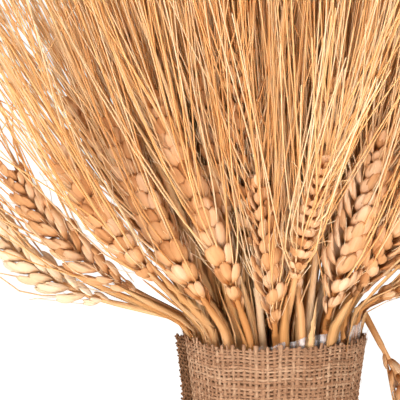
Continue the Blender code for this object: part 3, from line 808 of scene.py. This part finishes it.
def wrap_radius(azimuth, z):
    """Radius of the cloth's middle. It is the bunch's, plus the cloth's room and half its thickness, plus folds
    as a sine round the bunch that fade out towards the rim, and less a crease, exp(-x^2), beside the raw end."""
    azimuth, z = np.broadcast_arrays(azimuth, z)
    room, thick = (np.interp(z, BURLAP_PROFILE[:, 0], BURLAP_PROFILE[:, k]) for k in (1, 2))
    fold = 0.00008 + 0.00115 * smooth((0.215 - z) / 0.05) - 0.0006 * np.exp(-(((z - TIE_Z) / 0.007) ** 2))
    folds = fold * np.sin(FOLDS * azimuth + 1.4 * np.sin(3 * azimuth) + 0.6 * np.sin(90 * z + 5 * azimuth))
    crease = 0.0022 * np.exp(-(((azimuth - SEAM_AZIMUTH) / math.radians(3.6)) ** 2)) * smooth((z - 0.14) / 0.05)
    loose = 0.00025 * np.sin(5 * azimuth + 1) * smooth((z - 0.20) / 0.02)
    return bunch_radius(z) + room + np.maximum(thick / 2, fold + 0.0004) + folds - crease + loose


def rim_rise(azimuth):
    """How far the cut edge wanders up and down round the rim."""
    return 0.0005 * np.sin(3 * azimuth + 0.5) + 0.0003 * np.sin(11 * azimuth)


def make_ground():
    """Painted shade: a thin closed sleeve just under the yarns, coloured very dark brown, which shows as the shadow
    between them.
    """
    azimuth = np.linspace(0, 2 * math.pi, 180, endpoint=False)[None]
    share = np.linspace(0, 1, 32)[:, None]
    z = BURLAP_LOW + 0.0006 + share * (BURLAP_TOP - BURLAP_LOW - 0.0016 + rim_rise(azimuth))
    radius = wrap_radius(azimuth, z)
    sides = (polar(radius - 0.00022, azimuth, z), polar(radius - 0.00042, azimuth, z)[::-1])
    return ring_sheet("burlap_shade_ground", np.concatenate(sides), shade_ground_look, 0.3)


def make_warp():
    """Upright yarns. Each goes over and under the others in turn, as (-1)^(yarn + row), and frays at its ends."""
    yarn, row = np.arange(WARP_YARNS)[:, None], np.arange(WEFT_YARNS + 1)[None]
    azimuth = (yarn + 0.5) * 2 * math.pi / WARP_YARNS + np.zeros(row.shape)
    azimuth = azimuth + rng.normal(0, 0.0035, (WARP_YARNS, 1)) + 0.008 * np.sin(row / 9 + 0.5 * yarn)
    z = BURLAP_LOW + (row / WEFT_YARNS) * (BURLAP_TOP - BURLAP_LOW + rim_rise(azimuth))
    z[:, -1] += rng.uniform(-0.0006, 0.0016, WARP_YARNS)
    radius = wrap_radius(azimuth, z) + YARN_WAVE * np.where((yarn + row) % 2, 1, -1)
    spacing = 2 * math.pi * radius / WARP_YARNS
    wide = spacing * 0.36 * rng.uniform(0.85, 1.2, (WARP_YARNS, 1)) * (1 + 0.12 * rng.normal(size=spacing.shape))
    flat, out = polar(1.0, azimuth + math.pi / 2, 0.0), polar(1.0, azimuth, 0.0)
    paths = polar(radius, azimuth, z)
    rings = flat_rings(paths, flat, out, wide, np.full(wide.shape, YARN_THICK))
    surface = Surface()
    low, high = paths[:, 0] - (0, 0, 0.0004), paths[:, -1] + (0, 0, 0.0005)
    surface.add(rings, low, high, 0, rng.uniform(0.1, 0.9, WARP_YARNS))
    return surface.make("burlap_warp", (jute_look,))


def make_weft():
    """Yarns round the bunch, under the upright ones where those are over. Both ends lie under the raw end."""
    row, yarn = np.arange(WEFT_YARNS)[:, None], np.arange(WARP_YARNS + 1)[None]
    azimuth = (yarn - 0.5) * 2 * math.pi / WARP_YARNS + WEFT_START + np.zeros(row.shape)
    azimuth = azimuth - WEFT_START % (2 * math.pi / WARP_YARNS)
    z = BURLAP_LOW + ((row + 0.5) / WEFT_YARNS) * (BURLAP_TOP - BURLAP_LOW + rim_rise(azimuth))
    z = z + rng.normal(0, 0.00016, (WEFT_YARNS, 1)) + 0.00014 * np.sin(azimuth * 7 + row * 0.6)
    number = np.round((azimuth % (2 * math.pi)) * WARP_YARNS / (2 * math.pi) - 0.5).astype(int)
    radius = wrap_radius(azimuth, z) + YARN_WAVE * np.where((number + row) % 2, -1, 1)
    wide = 0.00055 * rng.uniform(0.78, 1.22, (WEFT_YARNS, 1)) * (1 + 0.12 * rng.normal(size=radius.shape))
    paths, out = polar(radius, azimuth, z), polar(1.0, azimuth, 0.0)
    rings = flat_rings(paths, np.broadcast_to((0.0, 0.0, 1.0), paths.shape), out, wide, np.full(wide.shape, 0.00032))
    surface = Surface()
    surface.add(rings, paths[:, 0], paths[:, -1], 0, rng.uniform(0.1, 0.9, WEFT_YARNS))
    return surface.make("burlap_weft", (jute_look,))


def flap_place(share, z):
    """Points on the raw end at a share of the way from the crease to its cut edge. It lifts off as share^1.4."""
    azimuth = SEAM_AZIMUTH + np.radians(-1.5 - FLAP_WIDTH * share)
    reach = FLAP_REACH * share**1.4 * smooth((z - 0.125) / 0.06) + 0.0004
    return polar(wrap_radius(azimuth, z) + reach, azimuth, z), azimuth


def make_flap():
    """The raw end: five upright yarns, with the cut ends of the others sticking out past the last one. Its yarns are
    coloured darker than the rest of the jute as painted shade, and they lie on a sheet in the dark ground colour.
    """
    surface = Surface()
    z = np.linspace(BURLAP_LOW + 0.001, BURLAP_TOP - 0.0008, 60)
    shares = np.linspace(0.02, 0.9, 7)
    outer = np.stack([flap_place(share, z)[0] for share in shares], axis=1)
    inner = outer * (0.9915, 0.9915, 1)
    loop = np.concatenate((outer, inner[:, ::-1]), axis=1)[None]
    surface.add(loop, loop[:, 0].mean(axis=1), loop[:, -1].mean(axis=1), 1, np.array([0.3]))
    z = BURLAP_LOW + np.arange(WEFT_YARNS + 1) / WEFT_YARNS * (BURLAP_TOP - BURLAP_LOW)
    for number, share in enumerate(np.linspace(0.08, 0.86, 5)):
        wander = 0.02 * np.sin(z * 300 + number * 2)
        paths, azimuth = flap_place(np.clip(share + wander, 0, 1), z)
        out = polar(1.0, azimuth, 0.0)
        paths = paths + out * (YARN_WAVE * np.where((np.arange(len(z)) + number) % 2, 1, -1))[:, None]
        flat = polar(1.0, azimuth + math.pi / 2, 0.0)
        wide, thick = (np.full((1, len(z)), half) for half in (0.00062, YARN_THICK))
        rings = flat_rings(paths[None], flat[None], out[None], wide, thick)
        surface.add(rings, paths[None, 0], paths[None, -1] + (0, 0, 0.0006), 0, rng.uniform(0.1, 0.9, 1))
    heights = BURLAP_LOW + (np.arange(WEFT_YARNS) + 0.5) / WEFT_YARNS * (BURLAP_TOP - BURLAP_LOW)
    ends = 0.93 + rng.uniform(0, 0.11, WEFT_YARNS)
    shares = np.linspace(0, 1, 11)[None] * ends[:, None]
    paths, azimuth = flap_place(shares, heights[:, None] + 0.0004 * shares**6 * rng.normal(size=(WEFT_YARNS, 1)))
    out = polar(1.0, azimuth, 0.0)
    odd = (np.arange(WEFT_YARNS)[:, None] + np.round(shares * 5).astype(int)) % 2
    paths = paths + out * (YARN_WAVE * np.where(odd, -1, 1))[..., None]
    size = np.full(shares.shape, 0.00046) * rng.uniform(0.8, 1.2, (WEFT_YARNS, 1))
    rings = flat_rings(paths, np.broadcast_to((0.0, 0.0, 1.0), paths.shape), out, size, size * 0.75)
    cut_ends = paths[:, -1] + (paths[:, -1] - paths[:, -2]) * 0.2
    surface.add(rings, paths[:, 0], cut_ends, 0, rng.uniform(0.1, 0.9, WEFT_YARNS))
    return surface.make("burlap_raw_end", (shaded_raw_end_look, shade_ground_look))


def make_fuzz():
    """Loose fibres that curl off the yarns: short arcs, thickest along the rim and the raw end."""
    n = FUZZ
    azimuth = rng.uniform(-math.pi, math.pi, n)
    at_rim = rng.random(n) < 0.3
    z = np.where(at_rim, BURLAP_TOP - rng.exponential(0.0025, n), rng.uniform(BURLAP_LOW, BURLAP_TOP, n))
    azimuth[:EDGE_FUZZ], z[:EDGE_FUZZ] = math.radians(-92), rng.uniform(0.17, BURLAP_TOP, EDGE_FUZZ)
    z = np.clip(z, BURLAP_LOW + 0.001, BURLAP_TOP)
    root = polar(wrap_radius(azimuth, z) + 0.0001, azimuth, z)
    out = polar(1.0, azimuth, 0.0)
    along = rng.normal(size=(n, 3))
    along = unit(along - (along * out).sum(-1, keepdims=True) * out * 0.9)
    length = rng.uniform(0.0015, 0.006, n)
    steps = np.linspace(0, 1, 5)
    lift = np.sin(steps * rng.uniform(1.8, 3.0, (n, 1))) * rng.uniform(0.15, 0.45, (n, 1))
    paths = root[:, None] + (along[:, None] * steps[:, None] + out[:, None] * lift[..., None]) * length[:, None, None]
    radii = np.full((n, 5), 0.00006) * rng.uniform(0.6, 1.3, (n, 1))
    surface = Surface()
    surface.add(tubes(paths, radii, 3), paths[:, 0], paths[:, -1], 0, rng.uniform(0.6, 1, n))
    return surface.make("burlap_fuzz", (jute_look,))


jute_look = dry_plant("jute yarn", (0.25, 0.117, 0.058), (0.43, 0.236, 0.135), (0.60, 0.385, 0.245),
                      0.88, 9, 60, 0.8, 140.0)
# painted shade: the raw end's jute is a darker copy of the yarn colour, for the shadow where it turns away from the
# light
shaded_raw_end_look = dry_plant("jute raw end painted shade", (0.10, 0.042, 0.018), (0.22, 0.105, 0.05), (0.36, 0.19, 0.10),
                         0.9, 9, 60, 0.8, 140.0)
# painted shade: the ground is a very dark copy of the jute, standing for the shadow seen between the yarns
shade_ground_look = dry_plant("jute ground painted shade", (0.06, 0.028, 0.013), (0.11, 0.052, 0.024), (0.19, 0.095, 0.045),
                        0.95, 300, 260, 0.8, 200.0)
ground, warp, weft, raw_end, fuzz = make_ground(), make_warp(), make_weft(), make_flap(), make_fuzz()
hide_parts("burlap_wrap")
for piece in (ground, warp, weft, raw_end, fuzz):
    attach(piece, "root")

# --- Twine ---
# Three turns of three-ply jute twine, pulled tight over the burlap's waist. The plies wind round each other.
TWINE_TURNS = 3
TWINE_PITCH = 0.0026
TWINE_R = 0.0012
PLY_R = 0.00062
PLY_LAY = 0.0052  # length in which a ply goes once round the twine
BURLAP_WAIST = 0.00295  # the gathered burlap's room and thickness under the twine
KNOT_AZIMUTH = math.radians(150)
KNOT_R = 0.00135
TAILS = ((-1, 0.022), (1, 0.028))  # side and length
UPRIGHT = np.array((0, 0, 1))


def lay_plies(surface, path, out):
    """Winds three plies about a path: each is a helix of radius PLY_R * 1.05 about it, one turn per PLY_LAY."""
    ahead = unit(np.gradient(path, axis=0))
    out = unit(out - (out * ahead).sum(1, keepdims=True) * ahead)
    up = np.cross(ahead, out)
    arc = np.concatenate(([0], np.cumsum(np.linalg.norm(np.diff(path, axis=0), axis=1))))
    steps = len(path)
    for ply in range(3):
        phase = arc * 2 * math.pi / PLY_LAY + ply * 2 * math.pi / 3
        run = path + (out * np.cos(phase)[:, None] + up * np.sin(phase)[:, None]) * PLY_R * 1.05
        radii = (PLY_R * (1 + 0.05 * rng.normal(size=steps)))[None]
        wide, mid = flat_rings(run[None], up[None], out[None], radii, radii), unit(up + out)
        mids = flat_rings(run[None], mid[None], unit(out - up)[None], radii, radii)
        rings = np.stack((wide, mids), axis=3).reshape(1, steps, 8, 3)
        surface.add(rings, run[None, 0], run[None, -1], 0, rng.uniform(0.3, 0.9, 1))


def make_twine():
    """The turns are one helix round the waist. The knot is a trefoil, (sin t + 2 sin 2t, cos t - 2 cos 2t,
    -sin 3t), laid flat on the turns at the back, and its two tails hang down and stray as u^2."""
    turn = np.linspace(0, TWINE_TURNS * 2 * math.pi, TWINE_TURNS * 170)
    azimuth = turn + KNOT_AZIMUTH
    z = TIE_Z + TWINE_PITCH * (turn / (2 * math.pi) - TWINE_TURNS / 2)
    radius = bunch_radius(z) + BURLAP_WAIST + TWINE_R
    surface = Surface()
    lay_plies(surface, polar(radius, azimuth, z), polar(1.0, azimuth, 0.0))
    out, aside = polar(1.0, KNOT_AZIMUTH, 0.0), polar(1.0, KNOT_AZIMUTH + math.pi / 2, 0.0)
    middle = polar(radius.max() + 3.1 * TWINE_R, KNOT_AZIMUTH, TIE_Z)
    t = np.linspace(0.35, 2 * math.pi - 0.35, 90)
    across, up, deep = np.sin(t) + 2 * np.sin(2 * t), np.cos(t) - 2 * np.cos(2 * t), -np.sin(3 * t)
    loops = middle + (aside * across[:, None] + UPRIGHT * up[:, None]) * KNOT_R
    loops = loops + out * (deep * 1.3 * TWINE_R)[:, None]
    lay_plies(surface, loops, np.tile(out, (90, 1)))
    for sign, length in TAILS:
        u = np.linspace(0, 1, 40)
        path = middle + aside * (sign * (0.002 + 0.007 * u**2))[:, None]
        path = path + out * (0.0015 * np.sin(math.pi * u) - 0.001 * u)[:, None] - UPRIGHT * (u * length)[:, None]
        lay_plies(surface, path, np.tile(out, (40, 1)))
    return surface.make("twine_plies", (twine_look,))


twine_look = dry_plant("jute twine", (0.33, 0.19, 0.085), (0.52, 0.33, 0.165), (0.68, 0.47, 0.27),
                       0.85, 6, 240, 0.8, 160.0)
twine = make_twine()
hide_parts("twine_tie")
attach(twine, "root")
